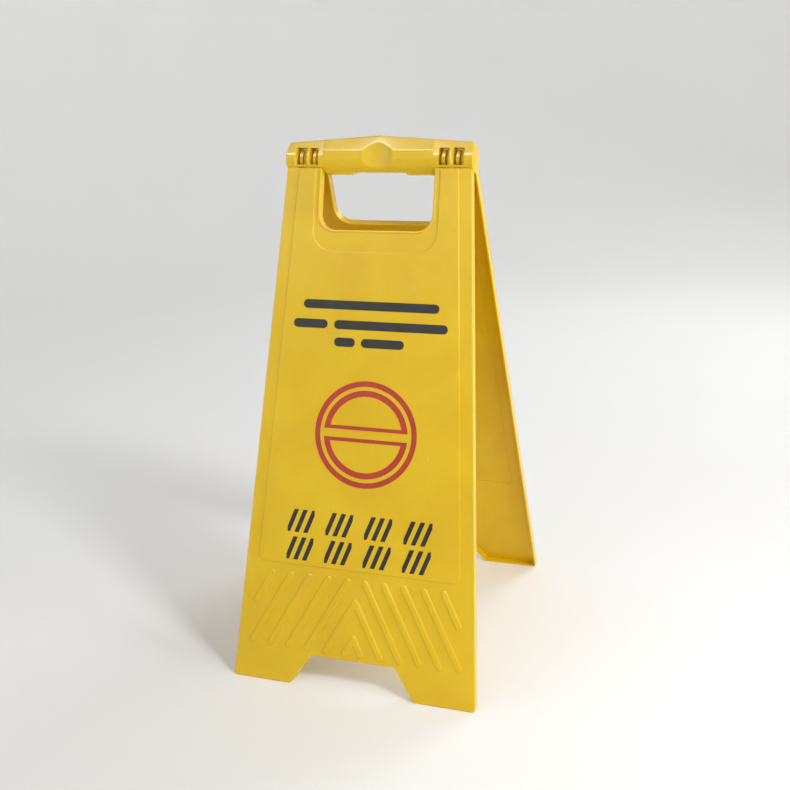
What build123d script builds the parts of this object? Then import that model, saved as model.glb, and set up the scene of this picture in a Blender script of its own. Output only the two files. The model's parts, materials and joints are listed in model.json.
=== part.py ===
from build123d import *
import os
from math import asin, atan2, cos, degrees, dist, radians, sin

# Folding A-frame floor barricade of moulded polypropylene.
# Two identical tray panels hang by finger eyes on two hinge pins. The pins lie
# in saddles in the slotted end barrels of a hollow carrying handle, trapped
# between its front and rear half shells.
# Frame: X across the sign, -Y the front, +Y the rear, Z up, millimetres.
# Origin: centre of the footprint, on the floor, with the sign standing open.
# Panel coordinates: across (X), down from the hinge axis, out from the hinge plane.

# --- driving dimensions: the open stance -------------------------------------
HALF_ANGLE = 16.3           # each panel leans this far from vertical
FACE_LENGTH = 603.4         # hinge axis to foot, along the outer face
FACE_OUT = 10.5             # outer face from the hinge plane
FOLD_GAP = 0.4              # rim of a folded panel from the hinge plane

# --- driving dimensions: the tray panel ---------------------------------------
TOP_WIDTH = 214.2           # at hinge height
FOOT_WIDTH = 291.9          # at the floor
SHEET = 2.0                 # moulded face thickness
WALL = 2.2                  # rim wall thickness

PAD_RISE = 1.2              # the raised sign field
PAD_TOP_WIDTH = 185.6
PAD_FOOT_WIDTH = 260.4      # its sides, drawn on down to the floor
PAD_BOTTOM = 463.6
PAD_ROUND = 8.0

HAND_HALF_WIDTH = 66.3      # the hand opening under the handle
HAND_BOTTOM = 79.5
HAND_ROUND = 19.0
LIP_WIDTH = 2.6
LIP_RISE = 0.8
BOWL_HALF_WIDTH = 72.3      # flat border of the hand opening, set below the pad
BOWL_BOTTOM = 103.2
BOWL_ROUND = 24.0

NOTCH_TOP = 566.8           # the arch between the two feet
NOTCH_TOP_HALF = 50.5
NOTCH_FOOT_HALF = 75.2
NOTCH_ROUND = 5.0

RIB_FIRST_APEX = 540.8      # nested chevron ribs in the foot field
RIB_PITCH = 42.2
RIB_COUNT = 7
RIB_SLOPE = 0.548           # across per unit down
RIB_WIDTH = 8.0
RIB_RISE = 1.2
RIB_FIELD_TOP = 475.7
RIB_FIELD_BOTTOM = 558.4
RIB_MARGIN = 18.0           # rib centre line to the panel's side edge

# --- driving dimensions: the handle and its barrels ---------------------------
HANDLE_HALF_LENGTH = 108.9
TUBE_RADIUS = 14.45
TUBE_BORE = 8.5
RIDGE_RADIUS = 3.0          # rounded crest of the gabled top
RIDGE_MID_RISE = 26.4       # crest above the hinge axis at mid length
RIDGE_END_RISE = 19.1
CREST_ROUND = 3.5

DISH_DEPTH = 3.85           # scooped thumb dish at mid length
DISH_RADIUS = 44.0
DISH_TILT = 12.9            # the dish faces this much above level
GRIP_PAD_INNER = 29.0               # flat-bottomed thickening beside the grip
GRIP_PAD_OUTER = 63.5
GRIP_PAD_DROP = 2.4
GRIP_PAD_RADIUS = 12.0

SLOTS = ((70.3, 80.5), (86.7, 96.2))    # inner and outer finger slot, from mid length
WINDOW_LOW = -3.7                       # window sill and head, from the hinge axis
WINDOW_HIGH = 13.9
SLOT_BORE = 11.8
SLOT_RIB = 0.6                          # half thickness of the rib above the hinge pin
SILL_GAP = 0.2                          # degrees between sill and finger, standing open

# --- driving dimensions: pins and fingers --------------------------------------
PIN_RADIUS = 4.0
PIN_FIXED_CLEARANCE = 0.02
PIN_RUNNING_CLEARANCE = 0.08
PIN_INNER_END = 61.0
PIN_OUTER_END = 106.0
PIN_END_PLAY = 0.3
PIN_CHAMFER = 0.6
BULKHEAD_FACE = 65.0                    # end of the handle's hollow
PANEL_CLEARANCE = 0.4                   # panel top edge from the barrel
EYE_RADIUS = 11.2
EYE_WIDTH = 4.0
HUB_RADIUS = 6.6
HUB_SIDE_PLAY = 0.3
FINGER_REACH = 21.0                     # how far a finger runs down inside its panel

# --- driving dimensions: the printed sign ---------------------------------------
INK = 0.15
SYMBOL_CENTRE = (2.3, 307.6)
SYMBOL_RING = (60.4, 54.2)              # outer and inner radius
SYMBOL_LOBE = (49.8, 43.0)
LOBE_GAP = 9.5                          # between the two half-round lobes
LOBE_BAR = 4.2
WORD_ROWS = (
    (163.4, ((-79.4, 80.5),)),
    (185.5, ((-90.5, -49.4), (-41.4, 91.3))),
    (205.1, ((-40.4, -15.6), (-8.4, 42.1))),
)
WORD_HEIGHT = 10.0
TILE_ROWS = (412.3, 444.3)
TILE_COLUMNS = 4
TILE_PITCH = 46.7
TILE_SIZE = (32.5, 26.5)
STRIPES_PER_TILE = 3
STRIPE_LEAN = 10.0

# --- worked-out sizes ------------------------------------------------------------
LEAN_SIN = sin(radians(HALF_ANGLE))
LEAN_COS = cos(radians(HALF_ANGLE))
HINGE_HEIGHT = FACE_LENGTH * LEAN_COS - FACE_OUT * LEAN_SIN
TRIM_RADIUS = TUBE_RADIUS + PANEL_CLEARANCE
PAD_OUT = FACE_OUT + PAD_RISE
BELOW_FLOOR = FACE_LENGTH + 8.0         # rough length before the feet are cut level
SEAM_ANGLE = degrees(asin(FACE_OUT / TRIM_RADIUS))
SILL_ANGLE = SEAM_ANGLE + HALF_ANGLE + SILL_GAP
BIG = 700.0


def half_width(down, top, foot):
    """Half the width of a side-tapered outline at a distance below the hinge axis."""
    return (top + (foot - top) * down / FACE_LENGTH) / 2


def plate(sketch, low, high):
    """A flat solid of the sketch, between two distances out from the hinge plane."""
    return Pos(0, 0, low) * extrude(sketch, amount=high - low)


def cross_cylinder(radius, half_length=BIG / 2):
    """A cylinder along X, centred on the hinge axis."""
    return Rot(0, 90, 0) * Cylinder(radius, 2 * half_length)


def outline(inset=0.0):
    """The tapered panel outline with the arch between its feet."""
    slant = (NOTCH_FOOT_HALF - NOTCH_TOP_HALF) / (FACE_LENGTH - NOTCH_TOP)
    notch_foot = NOTCH_FOOT_HALF + slant * (BELOW_FLOOR - FACE_LENGTH)
    top = half_width(0, TOP_WIDTH, FOOT_WIDTH)
    foot = half_width(BELOW_FLOOR, TOP_WIDTH, FOOT_WIDTH)
    right = [(top, 0), (foot, -BELOW_FLOOR), (notch_foot, -BELOW_FLOOR), (NOTCH_TOP_HALF, -NOTCH_TOP)]
    left = [(-x, y) for x, y in reversed(right)]
    face = make_face(Polyline(*right, *left, close=True))
    corners = face.vertices().filter_by(lambda v: abs(v.Y + NOTCH_TOP) < 1e-3)
    face = fillet(corners, NOTCH_ROUND)
    if inset:
        face = offset(face, amount=-inset, kind=Kind.INTERSECTION)
    return face


def cup(half, bottom, corner_radius, rise=0.0):
    """A U-shaped field about the hand opening, drawn up past the hinge axis by a rise."""
    face = Pos(0, (rise - bottom) / 2) * Rectangle(2 * half, bottom + rise)
    corners = face.vertices().filter_by(lambda v: v.Y < 0)
    return fillet(corners, corner_radius)


def pad_outline(inset=0.0):
    """The raised sign field: side-tapered, cut out round the hand opening."""
    top = half_width(0, PAD_TOP_WIDTH, PAD_FOOT_WIDTH)
    foot = half_width(PAD_BOTTOM, PAD_TOP_WIDTH, PAD_FOOT_WIDTH)
    face = make_face(Polyline((top, 0), (foot, -PAD_BOTTOM), (-foot, -PAD_BOTTOM), (-top, 0), close=True))
    face = fillet(face.vertices().filter_by(lambda v: v.Y < -1), PAD_ROUND)
    if inset:
        face = offset(face, amount=-inset)
    return face - cup(BOWL_HALF_WIDTH + inset, BOWL_BOTTOM + inset, BOWL_ROUND + inset, TUBE_RADIUS)


def bar(start, end, width):
    """A flat round-ended bar between two points."""
    turn = degrees(atan2(end[1] - start[1], end[0] - start[0]))
    middle = Pos((start[0] + end[0]) / 2, (start[1] + end[1]) / 2)
    return middle * SlotCenterToCenter(dist(start, end), width, rotation=turn)


def rib_field():
    """Nested chevrons: parallel round-ended bars, mirrored about the middle."""
    side_slope = (FOOT_WIDTH - TOP_WIDTH) / FACE_LENGTH / 2
    field = Sketch()
    for step in range(RIB_COUNT):
        apex = RIB_FIRST_APEX - RIB_PITCH * step
        side_limit = (TOP_WIDTH / 2 - RIB_MARGIN + RIB_SLOPE * apex) / (RIB_SLOPE - side_slope)
        first = max(apex, RIB_FIELD_TOP)
        last = min(RIB_FIELD_BOTTOM, side_limit)
        for side in (-1, 1):
            head = (side * RIB_SLOPE * (first - apex), -first)
            foot = (side * RIB_SLOPE * (last - apex), -last)
            field += bar(head, foot, RIB_WIDTH)
    return field


def finger(middle):
    """An eye round the hinge pin with a shoulder that meets the window sill."""
    seam = radians(SEAM_ANGLE)
    shoulder = (EYE_RADIUS * sin(seam), EYE_RADIUS * cos(seam))
    inner = FOLD_GAP
    outer = FACE_OUT - SHEET / 2
    web = Polyline(
        (inner, 0),
        shoulder,
        (outer, outer * shoulder[1] / shoulder[0]),
        (outer, FINGER_REACH),
        (inner, FINGER_REACH),
        close=True,
    )
    # the profile is drawn outward by downward, then given its width across the panel
    across = Plane(origin=(middle - EYE_WIDTH / 2, 0, 0), x_dir=(0, 0, 1), z_dir=(1, 0, 0))
    body = extrude(across * (make_face(web) + Circle(EYE_RADIUS)), amount=EYE_WIDTH)
    slot_width = next(outer - inner for inner, outer in SLOTS if inner < abs(middle) < outer)
    hub = cross_cylinder(HUB_RADIUS, slot_width / 2 - HUB_SIDE_PLAY)
    return body + Pos(middle, 0, 0) * hub


def panel():
    """One tray panel, lying flat: X across, -Y down, Z out from the hinge plane."""
    stand = open_stance().inverse()
    floor_cut = stand * Pos(0, 0, -BIG / 2) * Box(BIG, BIG, BIG)
    sole_cut = stand * Pos(0, 0, WALL - BIG / 2) * Box(BIG, BIG, BIG)

    shell = plate(outline(), FOLD_GAP, FACE_OUT)
    shell += plate(pad_outline(), FACE_OUT, PAD_OUT)
    shell += plate(rib_field(), FACE_OUT, FACE_OUT + RIB_RISE)
    lip_face = cup(HAND_HALF_WIDTH + LIP_WIDTH, HAND_BOTTOM + LIP_WIDTH, HAND_ROUND + LIP_WIDTH)
    shell += plate(lip_face, FACE_OUT, FACE_OUT + LIP_RISE)
    shell -= plate(cup(HAND_HALF_WIDTH, HAND_BOTTOM, HAND_ROUND, TUBE_RADIUS), 0, BIG)

    hollow = plate(outline(WALL), 0, FACE_OUT - SHEET)
    hollow += plate(pad_outline(SHEET), FACE_OUT - SHEET, PAD_OUT - SHEET)
    collar = cup(HAND_HALF_WIDTH + WALL, HAND_BOTTOM + WALL, HAND_ROUND + WALL, TUBE_RADIUS)
    hollow -= plate(collar, 0, FACE_OUT)
    hollow -= cross_cylinder(TRIM_RADIUS + WALL)
    hollow -= sole_cut
    shell -= hollow
    shell -= floor_cut
    shell -= cross_cylinder(TRIM_RADIUS)

    middles = [(inner + outer) / 2 for inner, outer in SLOTS]
    # the inner slot on one side and the outer slot on the other, so that two
    # identical panels, turned back to back, fill all the slots
    shell += finger(-middles[0])
    shell += finger(middles[1])
    return shell - cross_cylinder(PIN_RADIUS + PIN_RUNNING_CLEARANCE)


def open_stance():
    """Where a flat panel stands as the front leg."""
    return Location((0, 0, HINGE_HEIGHT), (90 - HALF_ANGLE, 0, 0))


def pear(x, rise):
    """Handle cross-section: a round tube drawn up to a rounded crest."""
    section = Plane(origin=(x, 0, 0), x_dir=(0, 1, 0), z_dir=(1, 0, 0))
    crest = Pos(0, rise - RIDGE_RADIUS) * Circle(RIDGE_RADIUS)
    return section * make_hull((Circle(TUBE_RADIUS) + crest).edges())


def half_shell():
    """The front half shell: half a hollow grip with a gabled crest and slotted end barrels."""
    front = Pos(0, -BIG / 2, 0) * Box(BIG, BIG, BIG)
    end = HANDLE_HALF_LENGTH
    grip = loft([pear(0, RIDGE_MID_RISE), pear(end, RIDGE_END_RISE)], ruled=True)
    grip += mirror(grip, Plane.YZ)
    grip &= front

    gable = make_face(Polyline(
        (-end, -TUBE_RADIUS), (-end, RIDGE_END_RISE), (0, RIDGE_MID_RISE),
        (end, RIDGE_END_RISE), (end, -TUBE_RADIUS), close=True,
    ))
    crest_corners = gable.vertices().filter_by(lambda v: v.Y > 0 and abs(v.X) > 1)
    gable = fillet(crest_corners, CREST_ROUND)
    grip &= extrude(Plane.XZ * gable, amount=TUBE_RADIUS + 1, both=True)

    for side in (-1, 1):
        grip += grip_pad(side) & front
    dish_out = TUBE_RADIUS - DISH_DEPTH + DISH_RADIUS
    grip -= Rot(-DISH_TILT, 0, 0) * Pos(0, -dish_out, 0) * Cylinder(DISH_RADIUS, 4 * TUBE_RADIUS)
    grip -= cross_cylinder(TUBE_BORE, BULKHEAD_FACE)
    saddle_length = PIN_OUTER_END - PIN_INNER_END + PIN_END_PLAY
    saddle = cross_cylinder(PIN_RADIUS + PIN_FIXED_CLEARANCE, saddle_length / 2)
    for side in (-1, 1):
        for inner, outer in SLOTS:
            grip -= Pos(side * (inner + outer) / 2, 0, 0) * slot_cut(outer - inner)
        grip -= Pos(side * (PIN_OUTER_END + PIN_INNER_END + PIN_END_PLAY) / 2, 0, 0) * saddle
    return Pos(0, 0, HINGE_HEIGHT) * grip


def grip_pad(side):
    """The thicker underside of the tube, either side of the hand grip."""
    low = TUBE_RADIUS + GRIP_PAD_DROP
    lower_round = Pos(0, GRIP_PAD_RADIUS - low) * Circle(GRIP_PAD_RADIUS)
    section = make_hull((Circle(TUBE_RADIUS) + lower_round).edges())
    section -= Pos(0, BIG / 2) * Rectangle(BIG, BIG)
    start = Plane(origin=(GRIP_PAD_INNER, 0, 0), x_dir=(0, 1, 0), z_dir=(1, 0, 0))
    solid = extrude(start * section, amount=GRIP_PAD_OUTER - GRIP_PAD_INNER)
    side_view = make_face(Polyline(
        (GRIP_PAD_INNER, 0), (GRIP_PAD_INNER, -TUBE_RADIUS + 1),
        (GRIP_PAD_INNER + GRIP_PAD_DROP + 1, -low), (GRIP_PAD_OUTER, -low), (GRIP_PAD_OUTER, 0), close=True,
    ))
    solid &= extrude(Plane.XZ * side_view, amount=TUBE_RADIUS, both=True)
    return solid if side > 0 else mirror(solid, Plane.YZ)


def slot_cut(width):
    """One finger slot: windows front and rear, a mouth for the swinging fingers, and their bore.

    Above the hinge pin a rib stays on the parting plane, either side of the eye's groove.
    """
    window = Box(width, 3 * TUBE_RADIUS, WINDOW_HIGH - WINDOW_LOW)
    window = Pos(0, 0, (WINDOW_LOW + WINDOW_HIGH) / 2) * window
    window -= Pos(0, 0, BIG / 2) * Box(width, 2 * SLOT_RIB, BIG)
    reach = 2 * TUBE_RADIUS
    sill_x = reach * sin(radians(SILL_ANGLE))
    sill_y = -reach * cos(radians(SILL_ANGLE))
    mouth = make_face(Polyline(
        (0, 0), (sill_x, sill_y), (sill_x, -reach), (-sill_x, -reach), (-sill_x, sill_y), close=True,
    ))
    across = Plane(origin=(-width / 2, 0, 0), x_dir=(0, 1, 0), z_dir=(1, 0, 0))
    lower_bore = Circle(SLOT_BORE) & Pos(0, -BIG / 2) * Rectangle(BIG, BIG)
    cut = window + extrude(across * (mouth + lower_bore), amount=width)
    cut += cross_cylinder(HUB_RADIUS + PANEL_CLEARANCE, width / 2)
    return cut + cross_cylinder(SLOT_BORE, EYE_WIDTH / 2 + HUB_SIDE_PLAY)


def hinge_pin(side):
    """One hinge pin with chamfered ends."""
    pin = cross_cylinder(PIN_RADIUS, (PIN_OUTER_END - PIN_INNER_END) / 2)
    pin = chamfer(pin.edges().filter_by(GeomType.CIRCLE), PIN_CHAMFER)
    return Pos(side * (PIN_OUTER_END + PIN_INNER_END) / 2, 0, HINGE_HEIGHT) * pin


def symbol_print():
    """The prohibition symbol: a ring round two half-round lobes."""
    x, down = SYMBOL_CENTRE
    marks = Circle(SYMBOL_RING[0]) - Circle(SYMBOL_RING[1])
    for side in (-1, 1):
        outer_edge = Pos(0, side * (BIG + LOBE_GAP) / 2) * Rectangle(BIG, BIG)
        inner_edge = Pos(0, side * (BIG + LOBE_GAP + 2 * LOBE_BAR) / 2) * Rectangle(BIG, BIG)
        marks += (Circle(SYMBOL_LOBE[0]) & outer_edge) - (Circle(SYMBOL_LOBE[1]) & inner_edge)
    return plate(Pos(x, -down) * marks, PAD_OUT, PAD_OUT + INK)


def word_print():
    """Plain round-ended bars, one for each word of a caption."""
    marks = Sketch()
    for down, words in WORD_ROWS:
        for left, right in words:
            marks += bar((left + WORD_HEIGHT / 2, -down), (right - WORD_HEIGHT / 2, -down), WORD_HEIGHT)
    return plate(marks, PAD_OUT, PAD_OUT + INK)


def tile_print():
    """Rows of square tiles, each a patch of slanted hazard stripes."""
    width, height = TILE_SIZE
    pitch = width / STRIPES_PER_TILE
    tile = Sketch()
    for step in range(STRIPES_PER_TILE):
        left = -width / 2 + pitch * step - STRIPE_LEAN / 2 + pitch / 4
        stripe = Polyline(
            (left, -height / 2), (left + pitch / 2, -height / 2),
            (left + pitch / 2 + STRIPE_LEAN, height / 2), (left + STRIPE_LEAN, height / 2), close=True,
        )
        tile += make_face(stripe)
    tile = tile & Rectangle(width, height)
    marks = Sketch()
    for down in TILE_ROWS:
        for column in range(TILE_COLUMNS):
            across = (column - (TILE_COLUMNS - 1) / 2) * TILE_PITCH
            marks += Pos(across, -down) * tile
    return plate(marks, PAD_OUT, PAD_OUT + INK)


def save(solid, node):
    """Write one named sub-part."""
    export_step(solid, f"parts/{node}.step")


os.makedirs("parts", exist_ok=True)
save(half_shell(), "handle_front_shell")
save(Rot(0, 0, 180) * half_shell(), "handle_rear_shell")
save(hinge_pin(-1), "hinge_pin_left")
save(hinge_pin(1), "hinge_pin_right")
flat_pieces = {
    "panel": panel(),
    "symbol_print": symbol_print(),
    "word_print": word_print(),
    "tile_print": tile_print(),
}
for leg, turn in (("front", 0), ("rear", 180)):
    for piece, flat in flat_pieces.items():
        save(Rot(0, 0, turn) * open_stance() * flat, f"{leg}_{piece}")
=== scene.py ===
import json
import math

import bmesh
import bpy
from mathutils import Matrix, Vector
from mathutils.geometry import delaunay_2d_cdt


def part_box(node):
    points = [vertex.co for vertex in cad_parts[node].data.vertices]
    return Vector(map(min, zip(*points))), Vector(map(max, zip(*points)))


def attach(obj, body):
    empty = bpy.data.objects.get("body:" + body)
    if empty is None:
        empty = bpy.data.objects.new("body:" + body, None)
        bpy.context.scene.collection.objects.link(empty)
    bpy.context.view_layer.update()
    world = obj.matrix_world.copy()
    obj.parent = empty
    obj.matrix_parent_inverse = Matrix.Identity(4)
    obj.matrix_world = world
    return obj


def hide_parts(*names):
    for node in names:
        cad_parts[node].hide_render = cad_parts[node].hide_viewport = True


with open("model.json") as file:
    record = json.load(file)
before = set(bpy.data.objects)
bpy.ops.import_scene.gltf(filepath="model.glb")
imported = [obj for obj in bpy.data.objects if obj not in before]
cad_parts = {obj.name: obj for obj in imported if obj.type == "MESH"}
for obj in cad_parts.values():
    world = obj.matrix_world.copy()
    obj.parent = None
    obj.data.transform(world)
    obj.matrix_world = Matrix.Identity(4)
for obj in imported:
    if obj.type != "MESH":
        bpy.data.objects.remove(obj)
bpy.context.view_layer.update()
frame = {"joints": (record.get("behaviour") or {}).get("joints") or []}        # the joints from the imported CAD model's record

MM = 0.001                      # in metres
# The pieces below are drawn in millimetres. A panel's coordinates are across (X), up
# from the hinge axis (Y) and out from the hinge plane (Z). The handle's are across,
# rearward and up from the hinge axis.

# ------------------------------------------------------------------ sizes from the frame
fold = frame["joints"][0]
HINGE_HEIGHT = fold["pos_m"][2] / MM
LEAN = math.radians(fold["range_deg"][1])
panel_low, panel_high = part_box("front_panel")
handle_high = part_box("handle_front_shell")[1]
pin_low, pin_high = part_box("hinge_pin_left")
FOOT_WIDTH = (panel_high[0] - panel_low[0]) / MM
HANDLE_END = handle_high[0] / MM
CREST_HEIGHT = handle_high[2] / MM - HINGE_HEIGHT
PIN_RADIUS = (pin_high[1] - pin_low[1]) / MM / 2

# ------------------------------------------------------------------ the panel's sizes
FACE_OUT = 10.5
FACE_LENGTH = (HINGE_HEIGHT + FACE_OUT * math.sin(LEAN)) / math.cos(LEAN)
TOP_WIDTH = 214.2
SHEET = 2.0                     # moulded face thickness
WALL = 2.2                      # rim wall thickness
RIM_OUT = 0.4                   # the rim's edge from the hinge plane
TRIM_RADIUS = 14.85             # the barrel and its clearance, which trim the panel's top
SEAM_CLOSING = 0.15             # the visible skin comes this much nearer to the barrel
TOP_BAND = 1.3 * TRIM_RADIUS    # edges this near the hinge axis belong to the trimmed top
EDGE_ROUND = 1.3                # from the face to the sides
RIM_ROUND = 0.5
POCKET_ROUND = 1.0              # along the foot of the rim, inside the tray
FOOT_ROUND = 3.5
NOTCH_FOOT_ROUND = 2.0
TOP_ROUND = 0.6
TOP_INSET = 0.3                 # of the face's rings along the trimmed top
TOP_INSET_REACH = 0.5           # how far in from the sides it is reached
TOP_INSET_GROWTH = 0.02         # keeps the rings past it apart
SMALLEST_ROUND = 0.05

PAD_RISE = 1.2
PAD_STEP = 1.1                  # width of the soft step up to the sign field
PAD_TOP_WIDTH = 185.6
PAD_FOOT_WIDTH = 260.4
PAD_BOTTOM = 463.6
PAD_ROUND = 8.0
PAD_TOP_ROUND = 1.5
PAD_TOP_STEP = 0.9              # width of the step along the panel's trimmed top
PAD_TOP_GAP = 0.75              # the sign field from the panel's trimmed top
RECESS_TOP_GAP = 3.5            # its recess in the tray from the trimmed top
RECESS_INSET = 1.6              # the recess is this much smaller all round

HAND_HALF_WIDTH = 66.3
HAND_BOTTOM = 79.5
HAND_ROUND = 19.0
LIP_RISE = 0.8
LIP_END = 71.8                  # the lip has run out by here, along the arm's top edge
# how the lip falls to the face: distance from the opening, share of its rise
LIP_FALL = ((1.9, 0.97), (2.3, 0.8), (2.6, 0.5), (2.9, 0.2), (3.2, 0.04), (3.6, 0))
BOWL_HALF_WIDTH = 72.3
BOWL_BOTTOM = 103.2
BOWL_ROUND = 24.0

NOTCH_TOP = 566.8
NOTCH_TOP_HALF = 50.5
NOTCH_FOOT_HALF = 75.2
NOTCH_ROUND = 6.0

RIB_FIRST_APEX = 540.8
RIB_PITCH = 42.2
RIB_COUNT = 7
RIB_SLOPE = 0.548
RIB_WIDTH = 8.0
RIB_RISE = 1.5
RIB_STEP = 1.7                  # width of the soft step up to a rib
RIB_APEX_ROUND = 1.0            # inside the fold of a chevron
RIB_END_SLACK = 0.01            # a rounded end's radius is this much under half the width
RIB_FIELD_TOP = 475.7
RIB_FIELD_BOTTOM = 558.4
RIB_MARGIN = 18.0

MERGE_DISTANCE = 0.0001         # points of a finished mesh closer than this are one point
FILL_TOLERANCE = 0.000001       # the same, where outlines are filled with triangles

# how a soft moulded step climbs: share of its width, share of its height
SOFT_STEP = ((0, 0), (0.08, 0.04), (0.18, 0.16), (0.30, 0.38), (0.42, 0.58),
             (0.56, 0.76), (0.72, 0.89), (0.88, 0.97), (1, 1))

# ------------------------------------------------------------------ the handle's sizes
TUBE_RADIUS = 14.45
TUBE_BORE = 8.5
BULKHEAD_FACE = 65.0
RIDGE_RADIUS = 3.0
RIDGE_END_RISE = 19.1
CREST_ROUND = 3.5
END_ROUND = 0.8
SHOULDER_RADIUS = 3.0           # rounded edge along the grip's front and rear
SHOULDER_PLACE = (9.2, 10.5)    # out and up from the hinge axis
SHOULDER_END = 65.0
SHOULDER_FADE = 1.5             # it sinks into the barrel over this length
SHOULDER_SINK = 0.25            # and by this share of its place
DISH_DEPTH = 3.85               # scooped thumb dish at mid length
DISH_RADIUS = 44.0
DISH_TILT = math.radians(12.9)  # the dish faces this much above level
DISH_BLEND = 0.25
DISH_FACING = 0.2               # sine of the slope past which the dish can't be met
GRIP_PAD_INNER = 29.0
GRIP_PAD_OUTER = 63.5
GRIP_PAD_DROP = 2.4
GRIP_PAD_RADIUS = 12.0
GRIP_PAD_STOP = 0.8             # length of the step at its outer end
SLOTS = ((70.3, 80.5), (86.7, 96.2))    # inner and outer finger slot, from mid length
WINDOW_LOW = -3.7
WINDOW_HIGH = 13.9
SLOT_BORE = 11.8
SLOT_RIB = 0.6                  # half thickness of the rib above the hinge pin
SILL_GAP = math.radians(0.2)
SADDLE_CLEARANCE = 0.02
PIN_SPAN = (61.0, 106.3)
PARTING_GAP = 0.03              # each half from the plane they meet on
CUT_EDGE = 0.35                 # rounding of the slots' and the parting line's edges
CUT_EDGE_ANGLE = math.radians(40)
HULL_SEARCH = 70                # degrees either side in which a hull's edge is looked for
# runs of sections along the handle, closer where it changes: first place, spacing, count
SECTION_RUNS = (
    (0.0, 1.0, 24),
    (24.0, 2.0, 3),
    (GRIP_PAD_INNER, 0.6, 8),
    (34.0, 4.0, 8),
    (GRIP_PAD_OUTER, -0.2, 5),
    (SHOULDER_END, -0.3, 6),
    (66.0, 4.2, 10),
    (HANDLE_END - CREST_ROUND, 0.5, 6),
)
NEAREST_SECTIONS = 0.15

EYE_RADIUS = 11.2
EYE_HALF_WIDTH = 2.0
EYE_BORE = 4.08
HUB_RADIUS = 6.6
HUB_SIDE_PLAY = 0.3
HUB_GAP = 0.4
FINGER_REACH = 21.0             # how far a finger runs down inside its panel
FINGER_EDGE = 0.3
FINGER_EDGE_ANGLE = math.radians(35)


# ------------------------------------------------------------------ outlines and rings
class Corner:
    """A corner of an outline; weight says how far the raised lip reaches there."""

    def __init__(self, x, y, radius=None, weight=0.0):
        self.at = Vector((x, y))
        self.radius = radius
        self.weight = weight


def corner_steps(radius):
    """How many straight pieces a rounded corner gets."""
    return 14 if radius >= 8 else 7


def ring(corners, inset, top_inset=None):
    """An outline set in by a distance, its corners rounded, as (x, y, weight) points.

    The number of points doesn't depend on the inset, so rings of one outline join up.
    Edges at the panel's trimmed top may have an inset of their own.
    """
    count = len(corners)
    top_inset = inset if top_inset is None else top_inset
    shifts, directions = [], []
    for i, start in enumerate(corners):
        end = corners[(i + 1) % count]
        direction = (end.at - start.at).normalized()
        at_top = min(start.at.y, end.at.y) > -TOP_BAND
        amount = top_inset if at_top else inset
        directions.append(direction)
        shifts.append(Vector((-direction.y, direction.x)) * amount)
    points = []
    for i, corner in enumerate(corners):
        before, after = directions[i - 1], directions[i]
        a, b = corner.at + shifts[i - 1], corner.at + shifts[i]
        if corner.radius is None:
            points.append((*b, corner.weight))
            continue
        turn = math.atan2(before.cross(after), before.dot(after))
        reach = (b - a).cross(after) / before.cross(after)
        meet = a + before * reach
        radius = max(corner.radius - inset, SMALLEST_ROUND) if turn > 0 else corner.radius + inset
        tangent = radius * math.tan(abs(turn) / 2)
        centre = meet - before * tangent
        centre += Vector((-before.y, before.x)) * math.copysign(radius, turn)
        steps = corner_steps(corner.radius)
        for step in range(steps + 1):
            angle = turn * step / steps
            spoke = Vector((before.y, -before.x)) * math.copysign(radius, turn)
            spoke.rotate(Matrix.Rotation(angle, 2))
            points.append((*(centre + spoke), corner.weight))
    return points


def add_ring(bm, points, out, lift=0.0):
    """A ring's vertices, raised by the lift where the lip reaches."""
    return [bm.verts.new((x, y, out + lift * weight)) for x, y, weight in points]


def join(bm, first, second):
    """A strip of quads between two rings with the same number of points."""
    count = len(first)
    for i in range(count):
        j = (i + 1) % count
        bm.faces.new((first[i], first[j], second[j], second[i]))


def chain(bm, rings):
    """Strips of quads along a row of rings."""
    for first, second in zip(rings, rings[1:]):
        join(bm, first, second)


def inside(point, loop):
    """Whether a point lies in a loop of vertices."""
    x, y = point
    found = False
    for i, vertex in enumerate(loop):
        a, b = loop[i - 1].co, vertex.co
        if (a.y > y) != (b.y > y) and x < a.x + (y - a.y) * (b.x - a.x) / (b.y - a.y):
            found = not found
    return found


def fill(bm, outer, holes=()):
    """Triangles over the flat region inside one loop of vertices and outside the others."""
    loops = [outer, *holes]
    vertices = [vertex for loop in loops for vertex in loop]
    points = [vertex.co.xy for vertex in vertices]
    edges, start = [], 0
    for loop in loops:
        edges += [(start + i, start + (i + 1) % len(loop)) for i in range(len(loop))]
        start += len(loop)
    # the result's points, its edges, its faces, and the input points behind each point
    places, _, faces, origins, *_ = delaunay_2d_cdt(points, edges, [], 0, FILL_TOLERANCE)
    for face in faces:
        middle = sum((places[i] for i in face), Vector((0, 0))) / len(face)
        if inside(middle, outer) and not any(inside(middle, hole) for hole in holes):
            bm.faces.new([vertices[origins[i][0]] for i in face])


def bend(inset, out, radius, start, end, steps=5):
    """Points of a rounding in a wall's section, as (inset, out), between two angles."""
    points = []
    for step in range(steps + 1):
        angle = math.radians(start + (end - start) * step / steps)
        points.append((inset + radius * math.cos(angle), out + radius * math.sin(angle)))
    return points


# ------------------------------------------------------------------ the tray panel
def half_width(down, top, foot):
    """Half the width of a side-tapered outline at a distance below the hinge axis."""
    return (top + (foot - top) * down / FACE_LENGTH) / 2


def trimmed_top(out):
    """Where the barrel's clearance cuts the panel off, as a height above the hinge axis."""
    return -math.sqrt((TRIM_RADIUS - SEAM_CLOSING) ** 2 - out ** 2)


def floor_line(out):
    """Where the floor cuts the panel off when the sign stands open."""
    return -(HINGE_HEIGHT + out * math.sin(LEAN)) / math.cos(LEAN)


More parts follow.
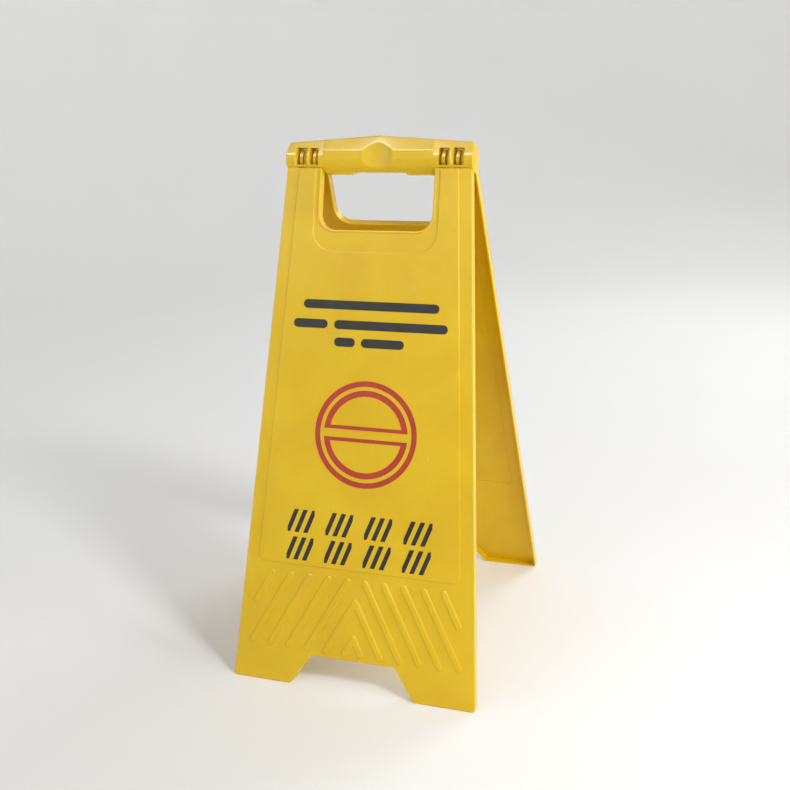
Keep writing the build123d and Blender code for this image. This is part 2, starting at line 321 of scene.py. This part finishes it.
def mirrored(right):
    """A whole outline from its right half, listed anticlockwise."""
    left = [Corner(-c.at.x, c.at.y, c.radius, c.weight) for c in reversed(right)]
    return right + left


def panel_corners(out):
    """The panel's outline, which the barrel and the floor cut off differently at each depth."""
    top, floor = trimmed_top(out), floor_line(out)
    slant = (NOTCH_FOOT_HALF - NOTCH_TOP_HALF) / (FACE_LENGTH - NOTCH_TOP)
    notch_foot = NOTCH_TOP_HALF + slant * (-floor - NOTCH_TOP)
    return mirrored([
        Corner(NOTCH_TOP_HALF, -NOTCH_TOP, NOTCH_ROUND),
        Corner(notch_foot, floor, NOTCH_FOOT_ROUND),
        Corner(half_width(-floor, TOP_WIDTH, FOOT_WIDTH), floor, FOOT_ROUND),
        Corner(half_width(-top, TOP_WIDTH, FOOT_WIDTH), top, TOP_ROUND),
        Corner(LIP_END, top),
        Corner(HAND_HALF_WIDTH, top, TOP_ROUND, 1.0),
        Corner(HAND_HALF_WIDTH, -HAND_BOTTOM, HAND_ROUND, 1.0),
    ])


def pad_corners(top):
    """The sign field, cut out round the hand opening, from a height below the barrel down."""
    return mirrored([
        Corner(half_width(PAD_BOTTOM, PAD_TOP_WIDTH, PAD_FOOT_WIDTH), -PAD_BOTTOM, PAD_ROUND),
        Corner(half_width(-top, PAD_TOP_WIDTH, PAD_FOOT_WIDTH), top, PAD_TOP_ROUND),
        Corner(BOWL_HALF_WIDTH, top, PAD_TOP_ROUND),
        Corner(BOWL_HALF_WIDTH, -BOWL_BOTTOM, BOWL_ROUND),
    ])


def bar_corners(head, foot, width):
    """A straight rib: a bar with fully rounded ends past both points."""
    head, foot = Vector(head), Vector(foot)
    along = (foot - head).normalized() * width / 2
    across = Vector((-along.y, along.x))
    radius = width / 2 - RIB_END_SLACK
    places = (head - along + across, head - along - across, foot + along - across, foot + along + across)
    return [Corner(*place, radius) for place in places]


def gable_corners(apex, foot, width):
    """A rib that climbs to an apex and comes down again."""
    apex, foot = Vector(apex), Vector(foot)
    along = (foot - apex).normalized() * width / 2
    across = Vector((-along.y, along.x))
    radius = width / 2 - RIB_END_SLACK
    rise = Vector((0, width / 2 / abs(along.x) * width / 2))
    right = [foot + along - across, foot + along + across]
    right.sort(key=lambda place: place.x)
    left = [Vector((-place.x, place.y)) for place in reversed(right)]
    corners = [Corner(*(apex - rise), RIB_APEX_ROUND)]
    corners += [Corner(*place, radius) for place in right]
    corners.append(Corner(*(apex + rise), radius))
    corners += [Corner(*place, radius) for place in left]
    return corners


def rib_outlines():
    """Nested chevrons; those whose apex would lie above the field are pairs of bars."""
    side_slope = (FOOT_WIDTH - TOP_WIDTH) / FACE_LENGTH / 2
    outlines = []
    for step in range(RIB_COUNT):
        apex = RIB_FIRST_APEX - RIB_PITCH * step
        side_limit = (TOP_WIDTH / 2 - RIB_MARGIN + RIB_SLOPE * apex) / (RIB_SLOPE - side_slope)
        first = max(apex, RIB_FIELD_TOP)
        last = min(RIB_FIELD_BOTTOM, side_limit)
        foot = (RIB_SLOPE * (last - apex), -last)
        if first == apex:
            outlines.append(gable_corners((0, -apex), foot, RIB_WIDTH))
            continue
        for side in (-1, 1):
            head = (side * RIB_SLOPE * (first - apex), -first)
            outlines.append(bar_corners(head, (side * foot[0], foot[1]), RIB_WIDTH))
    return outlines


def anticlockwise(corners):
    """The same corners, listed anticlockwise."""
    area = sum(a.at.cross(b.at) for a, b in zip(corners, corners[1:] + corners[:1]))
    return corners if area > 0 else corners[::-1]


def soft_field(bm, corners, width, low, high, start=0.0, top_width=None):
    """Rings of a soft step from one level to another, closed with a flat; gives the first ring."""
    corners = anticlockwise(corners)
    top_width = width if top_width is None else top_width
    rings = []
    for along, up in SOFT_STEP:
        points = ring(corners, start + along * width, start + along * top_width)
        rings.append(add_ring(bm, points, low + up * (high - low)))
    chain(bm, rings)
    fill(bm, rings[-1])
    return rings[0]


def panel_mesh():
    """One tray panel as a closed skin: pocket, rim, sides, lip, face, sign field and ribs."""
    bm = bmesh.new()
    floor_out = FACE_OUT - SHEET

    # each ring of the section: inset, out, inset at the trimmed top, lift of the lip
    pocket = bend(WALL + POCKET_ROUND, floor_out - POCKET_ROUND, POCKET_ROUND, 90, 180)
    pocket += bend(WALL - RIM_ROUND, RIM_OUT + RIM_ROUND, RIM_ROUND, 0, -90, 4)
    section = [(inset, out, inset, 0) for inset, out in pocket]
    rim = bend(RIM_ROUND, RIM_OUT + RIM_ROUND, RIM_ROUND, 270, 180, 4)
    section += [(inset, out, inset, 0) for inset, out in rim]
    edge = bend(EDGE_ROUND, FACE_OUT - EDGE_ROUND, EDGE_ROUND, 180, 90, 6)
    for inset, out in edge:
        section.append((inset, out, TOP_INSET * min(inset / TOP_INSET_REACH, 1), LIP_RISE))
    for inset, share in LIP_FALL:
        section.append((inset, FACE_OUT, TOP_INSET + TOP_INSET_GROWTH * inset, LIP_RISE * share))

    rings = []
    for inset, out, top_inset, lift in section:
        rings.append(add_ring(bm, ring(panel_corners(out), inset, top_inset), out, lift))
    chain(bm, rings)

    pad = pad_corners(trimmed_top(FACE_OUT) - PAD_TOP_GAP)
    holes = [soft_field(bm, pad, PAD_STEP, FACE_OUT, FACE_OUT + PAD_RISE, top_width=PAD_TOP_STEP)]
    for corners in rib_outlines():
        holes.append(soft_field(bm, corners, RIB_STEP, FACE_OUT, FACE_OUT + RIB_RISE))
    fill(bm, rings[-1], holes)

    recess = pad_corners(trimmed_top(floor_out) - RECESS_TOP_GAP)
    opening = soft_field(bm, recess, PAD_STEP, floor_out, floor_out + PAD_RISE, RECESS_INSET)
    fill(bm, rings[0], [opening])
    return bm


# ------------------------------------------------------------------ the fingers
def circle(bm, radius, across, steps=48):
    """A ring of vertices about the hinge axis."""
    turns = [2 * math.pi * i / steps for i in range(steps)]
    return [bm.verts.new((radius * math.cos(a), radius * math.sin(a), across)) for a in turns]


def finger_outline():
    """Side view of a finger, out by up: the eye, its shoulder and the web below it."""
    outer = FACE_OUT - SHEET / 2
    seam = math.asin(FACE_OUT / TRIM_RADIUS) - math.pi / 2
    rim = 2 * math.pi - math.acos(RIM_OUT / EYE_RADIUS)
    steps = 44
    points = []
    for step in range(steps + 1):
        angle = seam + (rim - seam) * step / steps
        points.append((EYE_RADIUS * math.cos(angle), EYE_RADIUS * math.sin(angle)))
    points += [(RIM_OUT, -FINGER_REACH), (outer, -FINGER_REACH), (outer, outer * math.tan(seam))]
    return points


def finger_mesh(hub_half):
    """One finger: a flat web and eye, with a hub standing out on both sides of the eye."""
    bm = bmesh.new()
    outline = finger_outline()
    flats, bores = [], []
    for side in (-1, 1):
        flat = [bm.verts.new((x, y, side * EYE_HALF_WIDTH)) for x, y in outline]
        hub = circle(bm, HUB_RADIUS, side * EYE_HALF_WIDTH)
        end = circle(bm, HUB_RADIUS, side * hub_half)
        bore = circle(bm, EYE_BORE, side * hub_half)
        fill(bm, flat, [hub])
        chain(bm, [hub, end, bore])
        flats.append(flat)
        bores.append(bore)
    join(bm, flats[0], flats[1])
    join(bm, bores[0], bores[1])
    return bm


# ------------------------------------------------------------------ the handle
def hull_radius(turn, circles):
    """Distance from the axis to the hull of circles, each (out, up, radius), in one direction."""
    nearest = math.inf
    for step in range(-HULL_SEARCH, HULL_SEARCH + 1):
        normal = turn + math.radians(step)
        support = max(out * math.sin(normal) + up * math.cos(normal) + radius for out, up, radius in circles)
        nearest = min(nearest, support / math.cos(normal - turn))
    return nearest


def crest_rise(x):
    """Height of the gabled crest, rounded off at the handle's ends."""
    rise = CREST_HEIGHT - (CREST_HEIGHT - RIDGE_END_RISE) * abs(x) / HANDLE_END
    past = abs(x) - (HANDLE_END - CREST_ROUND)
    if past > 0:
        rise -= CREST_ROUND - math.sqrt(max(CREST_ROUND ** 2 - past ** 2, 0))
    return rise


def smooth_step(value):
    """An S-curve from 0 to 1."""
    value = min(max(value, 0.0), 1.0)
    return value * value * (3 - 2 * value)


def smooth_min(a, b, blend):
    """The smaller of two values, with a rounded change-over."""
    share = min(max(0.5 + (a - b) / (2 * blend), 0.0), 1.0)
    return a + (b - a) * share - blend * share * (1 - share) / 2


def section_circles(x):
    """The circles whose hull is the handle's section: tube, crest, shoulder and grip pad."""
    circles = [(0, 0, TUBE_RADIUS), (0, crest_rise(x) - RIDGE_RADIUS, RIDGE_RADIUS)]
    fade = smooth_step((SHOULDER_END - abs(x)) / SHOULDER_FADE)
    if fade > 0:
        out, up = SHOULDER_PLACE
        scale = 1 - SHOULDER_SINK * (1 - fade)
        circles.append((out * scale, up * scale, SHOULDER_RADIUS))
    start = smooth_step((abs(x) - GRIP_PAD_INNER) / (GRIP_PAD_DROP + 1))
    stop = smooth_step((GRIP_PAD_OUTER - abs(x)) / GRIP_PAD_STOP)
    drop = (TUBE_RADIUS + GRIP_PAD_DROP * start * stop) - GRIP_PAD_RADIUS
    circles.append((0, -drop, GRIP_PAD_RADIUS))
    return circles


def skin_radius(x, turn, circles):
    """The handle's outer surface: distance from the axis, turned down from straight up."""
    radius = hull_radius(turn, circles)
    facing = math.sin(turn + DISH_TILT)
    if abs(x) < DISH_RADIUS / 2 and facing > DISH_FACING:
        dish = TUBE_RADIUS - DISH_DEPTH + DISH_RADIUS - math.sqrt(DISH_RADIUS ** 2 - x ** 2)
        radius = smooth_min(radius, dish / facing, DISH_BLEND)
    return radius


def section_turns():
    """Angles of a section's points down from straight up, from its foot to its crest."""
    turns = [180 - 5 * step for step in range(15)]
    turns += [105 - 2.5 * step for step in range(41)]
    turns += [3.5, 2.0, 0.8, 0.0]
    return [math.radians(turn) for turn in turns]


def handle_stations():
    """Places along the handle for its sections, the same either side of mid length."""
    places = {first + spacing * step for first, spacing, count in SECTION_RUNS for step in range(count)}
    ordered = sorted(place for place in places if place < HANDLE_END - END_ROUND)
    kept = [ordered[0]]
    kept += [b for a, b in zip(ordered, ordered[1:]) if b - a > NEAREST_SECTIONS]
    return [-place for place in reversed(kept[1:])] + kept


def solid_half():
    """The front half of the handle before it is cut, as a closed solid."""
    bm = bmesh.new()
    sections = [(x, 0.0) for x in handle_stations()]
    rounding = bend(END_ROUND, HANDLE_END - END_ROUND, END_ROUND, 180, 90, 4)
    right = [(place, inset) for inset, place in rounding]
    left = [(-place, inset) for place, inset in reversed(right)]
    rows = []
    for x, inset in left + sections + right:
        row = []
        circles = section_circles(x)
        for turn in section_turns():
            radius = skin_radius(x, turn, circles) - inset
            depth = min(-radius * math.sin(turn), -PARTING_GAP)
            row.append(bm.verts.new((x, depth, radius * math.cos(turn))))
        rows.append(row)
    for first, second in zip(rows, rows[1:]):
        for i in range(len(first) - 1):
            bm.faces.new((first[i], first[i + 1], second[i + 1], second[i]))
        bm.faces.new((first[-1], first[0], second[0], second[-1]))
    bm.faces.new(rows[0])
    bm.faces.new(rows[-1])
    bmesh.ops.recalc_face_normals(bm, faces=bm.faces)
    return bm


def cutter_cylinder(radius, start, end, steps=64):
    """A cylinder on the hinge axis."""
    bm = bmesh.new()
    sides = []
    for x in (start, end):
        turns = [2 * math.pi * (i + 0.5) / steps for i in range(steps)]
        side = [bm.verts.new((x, radius * math.cos(a), radius * math.sin(a))) for a in turns]
        bm.faces.new(side)
        sides.append(side)
    join(bm, sides[0], sides[1])
    return bm


def cutter_prism(outline, start, end):
    """A prism across the handle from a (rearward, up) outline."""
    bm = bmesh.new()
    sides = []
    for x in (start, end):
        side = [bm.verts.new((x, y, z)) for y, z in outline]
        bm.faces.new(side)
        sides.append(side)
    join(bm, sides[0], sides[1])
    return bm


def handle_cutters():
    """What is taken out of the front half: its hollow, the finger slots and the pin saddles.

    Above the pin a rib stays on the parting plane, either side of the eye's groove.
    """
    reach = 2 * TUBE_RADIUS
    window = [(-reach, WINDOW_LOW), (-SLOT_RIB, WINDOW_LOW), (-SLOT_RIB, WINDOW_HIGH), (-reach, WINDOW_HIGH)]
    sill = math.asin(FACE_OUT / TRIM_RADIUS) + LEAN + SILL_GAP
    sill_y, sill_z = reach * math.sin(sill), -reach * math.cos(sill)
    mouth = [(0, 0), (-sill_y, sill_z), (-sill_y, -reach), (sill_y, -reach), (sill_y, sill_z)]
    turns = [math.pi * (1 + step / 32) for step in range(33)]
    lower_bore = [(SLOT_BORE * math.cos(turn), SLOT_BORE * math.sin(turn)) for turn in turns]
    cutters = [cutter_cylinder(TUBE_BORE, -BULKHEAD_FACE, BULKHEAD_FACE)]
    for side in (-1, 1):
        for inner, outer in SLOTS:
            start, end = sorted((side * inner, side * outer))
            middle, groove = (start + end) / 2, EYE_HALF_WIDTH + HUB_SIDE_PLAY
            cutters += [cutter_prism(outline, start, end) for outline in (window, mouth, lower_bore)]
            cutters.append(cutter_cylinder(HUB_RADIUS + HUB_GAP, start, end))
            cutters.append(cutter_cylinder(SLOT_BORE, middle - groove, middle + groove))
        start, end = sorted(side * place for place in PIN_SPAN)
        cutters.append(cutter_cylinder(PIN_RADIUS + SADDLE_CLEARANCE, start, end))
    return cutters


def shell_mesh():
    """A finished half shell: the solid half with everything cut out and its edges rounded."""
    body = temporary("shell_body", solid_half())
    tools = []
    for index, bm in enumerate(handle_cutters()):
        bmesh.ops.recalc_face_normals(bm, faces=bm.faces)
        tool = temporary(f"cutter_{index}", bm)
        tools.append(tool)
        cut = body.modifiers.new(f"cut_{index}", "BOOLEAN")
        cut.operation = "DIFFERENCE"
        cut.solver = "EXACT"
        cut.object = tool
    rounding = body.modifiers.new("edges", "BEVEL")
    rounding.width = CUT_EDGE
    rounding.segments = 2
    rounding.limit_method = "ANGLE"
    rounding.angle_limit = CUT_EDGE_ANGLE
    rounding.miter_outer = "MITER_ARC"
    bpy.context.view_layer.update()
    evaluated = body.evaluated_get(bpy.context.evaluated_depsgraph_get())
    mesh = bpy.data.meshes.new_from_object(evaluated)
    bm = bmesh.new()
    bm.from_mesh(mesh)
    bpy.data.meshes.remove(mesh)
    for tool in (*tools, body):
        data = tool.data
        bpy.data.objects.remove(tool)
        bpy.data.meshes.remove(data)
    bmesh.ops.remove_doubles(bm, verts=bm.verts, dist=MERGE_DISTANCE)
    return bm


def temporary(name, bm):
    """An object that only serves to cut or be cut, and is removed again."""
    mesh = bpy.data.meshes.new(name)
    bm.to_mesh(mesh)
    bm.free()
    item = bpy.data.objects.new(name, mesh)
    bpy.context.scene.collection.objects.link(item)
    return item


# ------------------------------------------------------------------ materials
YELLOW = (0.80, 0.545, 0.008)
YELLOW_DEEP = (0.74, 0.475, 0.005)
YELLOW_SCUFF = (0.86, 0.66, 0.10)
RED = (0.52, 0.045, 0.010)
RED_DEEP = (0.42, 0.030, 0.008)
BLACK = (0.022, 0.018, 0.014)
BLACK_DEEP = (0.012, 0.010, 0.008)
AMBER = (0.62, 0.36, 0.03)
AMBER_DEEP = (0.50, 0.27, 0.015)
STUDIO = (0.93, 0.93, 0.925)
STUDIO_DEEP = (0.90, 0.90, 0.89)


class Nodes:
    """A short way to build a node tree."""

    def __init__(self, material):
        material.use_nodes = True
        self.tree = material.node_tree
        self.shader = self.tree.nodes["Principled BSDF"]
        self.coordinates = None

    def set(self, **values):
        """Constant values of the shader, with underscores for the spaces in their names."""
        for key, value in values.items():
            self.shader.inputs[key.replace("_", " ")].default_value = value

    def add(self, kind, **values):
        """A node, with values for its inputs or its own settings."""
        node = self.tree.nodes.new(kind)
        for key, value in values.items():
            if key in node.inputs:
                node.inputs[key].default_value = value
            else:
                setattr(node, key, value)
        return node

    def link(self, source, target):
        self.tree.links.new(source, target)

    def places(self):
        """The object's own coordinates, which the textures are fixed to."""
        if self.coordinates is None:
            self.coordinates = self.add("ShaderNodeTexCoord").outputs["Object"]
        return self.coordinates

    def noise(self, scale, detail=2.0, roughness=0.5, distortion=0.0):
        """A cloudy value from 0 to 1."""
        node = self.add("ShaderNodeTexNoise", Scale=scale, Detail=detail, Roughness=roughness,
                        Distortion=distortion)
        self.link(self.places(), node.inputs["Vector"])
        return node.outputs["Fac"]

    def spread(self, source, low, high, start=0.0, end=1.0):
        """A value moved from one range to another."""
        node = self.add("ShaderNodeMapRange")
        for key, value in (("From Min", low), ("From Max", high), ("To Min", start), ("To Max", end)):
            node.inputs[key].default_value = value
        self.link(source, node.inputs["Value"])
        return node.outputs["Result"]

    def colours(self, source, deep, light):
        """A colour between two, by a value from 0 to 1."""
        node = self.add("ShaderNodeValToRGB")
        for element, colour in zip(node.color_ramp.elements, (deep, light)):
            element.color = (*colour, 1)
        self.link(source, node.inputs["Fac"])
        return node.outputs["Color"]

    def mix(self, factor, first, colour):
        """A constant colour laid over another, by a value from 0 to 1."""
        node = self.add("ShaderNodeMix", data_type="RGBA")
        self.link(factor, node.inputs["Factor"])
        under, over = [socket for socket in node.inputs if socket.type == "RGBA"]
        self.link(first, under)
        over.default_value = (*colour, 1)
        return next(socket for socket in node.outputs if socket.type == "RGBA")

    def bump(self, height, strength, distance, under=None):
        """A height turned into a normal, on top of another bump if one is given."""
        node = self.add("ShaderNodeBump", Strength=strength, Distance=distance)
        self.link(height, node.inputs["Height"])
        if under is not None:
            self.link(under, node.inputs["Normal"])
        return node.outputs["Normal"]


def yellow_plastic():
    """Glossy injection-moulded polypropylene: faint flow marks, sink waviness, fine scuffs."""
    material = bpy.data.materials.new("yellow_plastic")
    nodes = Nodes(material)
    shader = nodes.shader
    nodes.set(IOR=1.49, Specular_IOR_Level=0.42)
    nodes.set(Subsurface_Weight=0.25, Subsurface_Radius=(1.0, 0.55, 0.06), Subsurface_Scale=0.003)

    flow = nodes.spread(nodes.noise(9, detail=3, roughness=0.45, distortion=1.2), 0.32, 0.70)
    tint = nodes.colours(flow, YELLOW_DEEP, YELLOW)
    scratch_map = nodes.add("ShaderNodeMapping", Scale=(260, 260, 9), Rotation=(0.3, 0.5, 0.9))
    nodes.link(nodes.places(), scratch_map.inputs["Vector"])
    scratch = nodes.add("ShaderNodeTexNoise", Scale=1.0, Detail=4.0, Roughness=0.6)
    nodes.link(scratch_map.outputs["Vector"], scratch.inputs["Vector"])
    scuff = nodes.spread(scratch.outputs["Fac"], 0.66, 0.80, start=0, end=0.22)
    nodes.link(nodes.mix(scuff, tint, YELLOW_SCUFF), shader.inputs["Base Color"])

    gloss = nodes.spread(nodes.noise(26, detail=4, roughness=0.55), 0.3, 0.7, start=0.17, end=0.27)
    rough = nodes.add("ShaderNodeMath", operation="ADD")
    nodes.link(gloss, rough.inputs[0])
    nodes.link(scuff, rough.inputs[1])
    nodes.link(rough.outputs[0], shader.inputs["Roughness"])

    wavy = nodes.bump(nodes.noise(11, detail=1, roughness=0.4), 0.4, 0.0008)
    grain = nodes.bump(nodes.noise(900, detail=2, roughness=0.5), 0.1, 0.00003, wavy)
    nodes.link(grain, shader.inputs["Normal"])
    return material


def ink(name, deep, light):
    """Screen-printed ink: dense, a little uneven, with the faint grain of the screen."""
    material = bpy.data.materials.new(name)
    nodes = Nodes(material)
    nodes.set(IOR=1.5, Specular_IOR_Level=0.4)
    cloud = nodes.spread(nodes.noise(45, detail=4, roughness=0.6), 0.3, 0.7)
    nodes.link(nodes.colours(cloud, deep, light), nodes.shader.inputs["Base Color"])
    gloss = nodes.spread(nodes.noise(300, detail=3), 0.3, 0.7, start=0.34, end=0.5)
    nodes.link(gloss, nodes.shader.inputs["Roughness"])
    mesh_marks = nodes.bump(nodes.noise(1400, detail=1), 0.2, 0.00004)
    nodes.link(mesh_marks, nodes.shader.inputs["Normal"])
    return material


def pin_plastic():
    """Turned pin stock: dull amber plastic with fine rings of tool marks."""
    material = bpy.data.materials.new("pin_plastic")
    nodes = Nodes(material)
    nodes.set(IOR=1.5)
    cloud = nodes.spread(nodes.noise(60, detail=3), 0.3, 0.7)
    nodes.link(nodes.colours(cloud, AMBER_DEEP, AMBER), nodes.shader.inputs["Base Color"])
    marks = nodes.add("ShaderNodeTexWave", Scale=700.0, Distortion=1.5, Detail=2.0)
    marks.bands_direction = "X"
    nodes.link(nodes.places(), marks.inputs["Vector"])
    gloss = nodes.spread(marks.outputs["Fac"], 0, 1, start=0.4, end=0.52)
    nodes.link(gloss, nodes.shader.inputs["Roughness"])
    nodes.link(nodes.bump(marks.outputs["Fac"], 0.3, 0.00004), nodes.shader.inputs["Normal"])
    return material


def studio_white():
    """The pale floor and backdrop, with the faintest mottling."""
    material = bpy.data.materials.new("studio_white")
    nodes = Nodes(material)
    nodes.set(Specular_IOR_Level=0.1, Roughness=0.9)
    tint = nodes.colours(nodes.noise(3), STUDIO_DEEP, STUDIO)
    nodes.link(tint, nodes.shader.inputs["Base Color"])
    return material


# ------------------------------------------------------------------ the pieces
# a finger is drawn out by up by across, and a panel across by up by out
FROM_SIDE_VIEW = Matrix(((0, 0, 1, 0), (0, 1, 0, 0), (1, 0, 0, 0), (0, 0, 0, 1)))


def place_piece(name, bm, stance, body, material, replaced=()):
    """Put a mesh drawn in millimetres into the frame, on its body and in its CAD node's place."""
    bmesh.ops.recalc_face_normals(bm, faces=bm.faces)
    mesh = bpy.data.meshes.new(name)
    bm.to_mesh(mesh)
    mesh.transform(Matrix.Scale(MM, 4) @ stance)
    mesh.shade_smooth()
    mesh.materials.append(material)
    piece = bpy.data.objects.new(name, mesh)
    bpy.context.scene.collection.objects.link(piece)
    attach(piece, body)
    if replaced:
        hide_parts(*replaced)
    return piece


def even_normals(piece):
    """Shade flats flat and roundings round."""
    weigh = piece.modifiers.new("normals", "WEIGHTED_NORMAL")
    weigh.mode = "FACE_AREA_WITH_ANGLE"
    weigh.weight = 50


def leg_stance(turn):
    """Where a panel drawn flat stands, for the front leg or, turned half round, the rear one."""
    lean = Matrix.Translation((0, 0, HINGE_HEIGHT)) @ Matrix.Rotation(math.pi / 2 - LEAN, 4, "X")
    return Matrix.Rotation(turn, 4, "Z") @ lean


def build_leg(leg, turn, plastic):
    """A panel moulding and its two fingers."""
    stance = leg_stance(turn)
    bm = panel_mesh()
    panel = place_piece(f"{leg}_panel_moulding", bm, stance, f"{leg}_leg",
                        plastic, [f"{leg}_panel"])
    bm.free()
    even_normals(panel)
    # one finger in an inner slot and one in an outer slot on the other side
    for label, side, (inner, outer) in (("inner", -1, SLOTS[0]), ("outer", 1, SLOTS[1])):
        bm = finger_mesh((outer - inner) / 2 - HUB_SIDE_PLAY)
        across = Matrix.Translation((side * (inner + outer) / 2, 0, 0))
        finger = place_piece(f"{leg}_{label}_finger", bm, stance @ across @ FROM_SIDE_VIEW,
                             f"{leg}_leg", plastic)
        bm.free()
        edges = finger.modifiers.new("edges", "BEVEL")
        edges.width = FINGER_EDGE * MM
        edges.segments = 2
        edges.limit_method = "ANGLE"
        edges.angle_limit = FINGER_EDGE_ANGLE
        even_normals(finger)


def build_handle(plastic):
    """Two handle halves of one shape, the rear one turned half round."""
    bm = shell_mesh()
    raise_up = Matrix.Translation((0, 0, HINGE_HEIGHT))
    for label, turn in (("front", 0.0), ("rear", math.pi)):
        stance = raise_up @ Matrix.Rotation(turn, 4, "Z")
        shell = place_piece(f"handle_{label}_half", bm, stance, "handle",
                            plastic, [f"handle_{label}_shell"])
        even_normals(shell)
    bm.free()


def dress_nodes(materials):
    """Give each CAD node that stays its material."""
    for leg in ("front", "rear"):
        bpy.data.objects[f"{leg}_symbol_print"].data.materials[0] = materials["red_ink"]
        for marks in ("word", "tile"):
            bpy.data.objects[f"{leg}_{marks}_print"].data.materials[0] = materials["black_ink"]
    for side in ("left", "right"):
        bpy.data.objects[f"hinge_pin_{side}"].data.materials[0] = materials["pin_plastic"]


# ------------------------------------------------------------------ studio and camera
SWEEP_REACH = 3.2               # the studio is in metres
SWEEP_RADIUS = 1.2
SWEEP_HEIGHT = 2.6
WORLD_STRENGTH = 0.24
SIGN_MIDDLE = (0, 0, 0.3)
# the camera's place and lens are in millimetres, its turns in radians
CAMERA_PLACE = (395.4, -1143.5, 712.4)
CAMERA_YAW = 0.3281
CAMERA_PITCH = 0.3295
CAMERA_ROLL = -0.0376
CAMERA_LENS = 48.59
SENSOR_WIDTH = 36.0


def aim_camera():
    """The photograph's viewpoint: in front, to the right and above, level but for a small roll."""
    data = bpy.data.cameras.new("camera")
    data.lens = CAMERA_LENS
    data.sensor_width = SENSOR_WIDTH
    camera = bpy.data.objects.new("camera", data)
    bpy.context.scene.collection.objects.link(camera)
    sy, cy = math.sin(CAMERA_YAW), math.cos(CAMERA_YAW)
    sp, cp = math.sin(CAMERA_PITCH), math.cos(CAMERA_PITCH)
    sr, cr = math.sin(CAMERA_ROLL), math.cos(CAMERA_ROLL)
    forward = Vector((-sy * cp, cy * cp, -sp))
    level = Vector((cy, sy, 0))
    upright = level.cross(forward)
    right = cr * level + sr * upright
    up = cr * upright - sr * level
    turn = Matrix((right, up, -forward)).transposed().to_4x4()
    camera.matrix_world = Matrix.Translation(Vector(CAMERA_PLACE) * MM) @ turn
    bpy.context.scene.camera = camera


def sweep():
    """A pale round floor that curves up into a backdrop on all sides."""
    bm = bmesh.new()
    flat = SWEEP_REACH - SWEEP_RADIUS
    profile = [(flat, 0.0)]
    for step in range(1, 13):
        angle = math.radians(90 * step / 12)
        profile.append((flat + SWEEP_RADIUS * math.sin(angle), SWEEP_RADIUS - SWEEP_RADIUS * math.cos(angle)))
    profile.append((SWEEP_REACH, SWEEP_HEIGHT))
    steps = 48
    rows = []
    for distance, z in profile:
        row = []
        for step in range(steps):
            angle = 2 * math.pi * step / steps
            row.append(bm.verts.new((distance * math.cos(angle), distance * math.sin(angle), z)))
        rows.append(row)
    chain(bm, rows)
    bm.faces.new(rows[0])
    bmesh.ops.recalc_face_normals(bm, faces=bm.faces)
    mesh = bpy.data.meshes.new("studio_sweep")
    bm.to_mesh(mesh)
    bm.free()
    mesh.shade_smooth()
    mesh.materials.append(studio_white())
    floor = bpy.data.objects.new("studio_sweep", mesh)
    bpy.context.scene.collection.objects.link(floor)


def soft_light(name, place, aim, size, power, gloss_only=False):
    """A rectangular light; one that is gloss_only shows only in reflections."""
    data = bpy.data.lights.new(name, "AREA")
    data.shape = "RECTANGLE"
    data.size, data.size_y = size
    data.energy = power
    light = bpy.data.objects.new(name, data)
    light.visible_diffuse = not gloss_only
    bpy.context.scene.collection.objects.link(light)
    light.location = place
    light.rotation_euler = (Vector(aim) - Vector(place)).to_track_quat("-Z", "Y").to_euler()


def light_studio():
    """Even white light, a key, three weaker lights, cards to reflect, and the backdrop's lights."""
    world = bpy.data.worlds.new("studio")
    world.use_nodes = True
    backdrop = world.node_tree.nodes["Background"]
    backdrop.inputs["Color"].default_value = (1, 1, 1, 1)
    backdrop.inputs["Strength"].default_value = WORLD_STRENGTH
    bpy.context.scene.world = world
    soft_light("key", (1.5, -0.8, 1.7), SIGN_MIDDLE, (0.4, 0.4), 19)
    soft_light("side", (0.8, -0.16, 0.62), (0, 0, 0.45), (0.3, 0.3), 1.8)
    soft_light("fill", (-1.6, -1.6, 0.8), SIGN_MIDDLE, (1.2, 1.2), 4.4)
    soft_light("behind", (0.9, 1.6, 1.4), SIGN_MIDDLE, (0.9, 0.9), 12)
    soft_light("ceiling", (0.0, -0.9, 2.9), (0, -0.9, 0), (3.0, 2.6), 55, gloss_only=True)
    soft_light("front_card", (-0.4, -2.4, 1.9), (0, 0, 0.6), (3.0, 1.2), 12, gloss_only=True)
    soft_light("strip", (0.0, -1.15, 2.5), (0, 0, 0.5), (2.4, 0.3), 80, gloss_only=True)
    for side, turn in (("back", 90), ("left", 180), ("right", 0), ("front", 270)):
        x, y = SWEEP_REACH * math.cos(math.radians(turn)), SWEEP_REACH * math.sin(math.radians(turn))
        soft_light(f"backdrop_{side}", (x / 2, y / 2, SWEEP_HEIGHT), (x, y, 0.9), (2.4, 0.5), 10)


# ------------------------------------------------------------------ the scene
bpy.context.scene.view_settings.view_transform = "Standard"
aim_camera()
sweep()
light_studio()
plastic = yellow_plastic()
build_leg("front", 0.0, plastic)
build_leg("rear", math.pi, plastic)
build_handle(plastic)
dress_nodes({
    "red_ink": ink("red_ink", RED_DEEP, RED),
    "black_ink": ink("black_ink", BLACK_DEEP, BLACK),
    "pin_plastic": pin_plastic(),
})
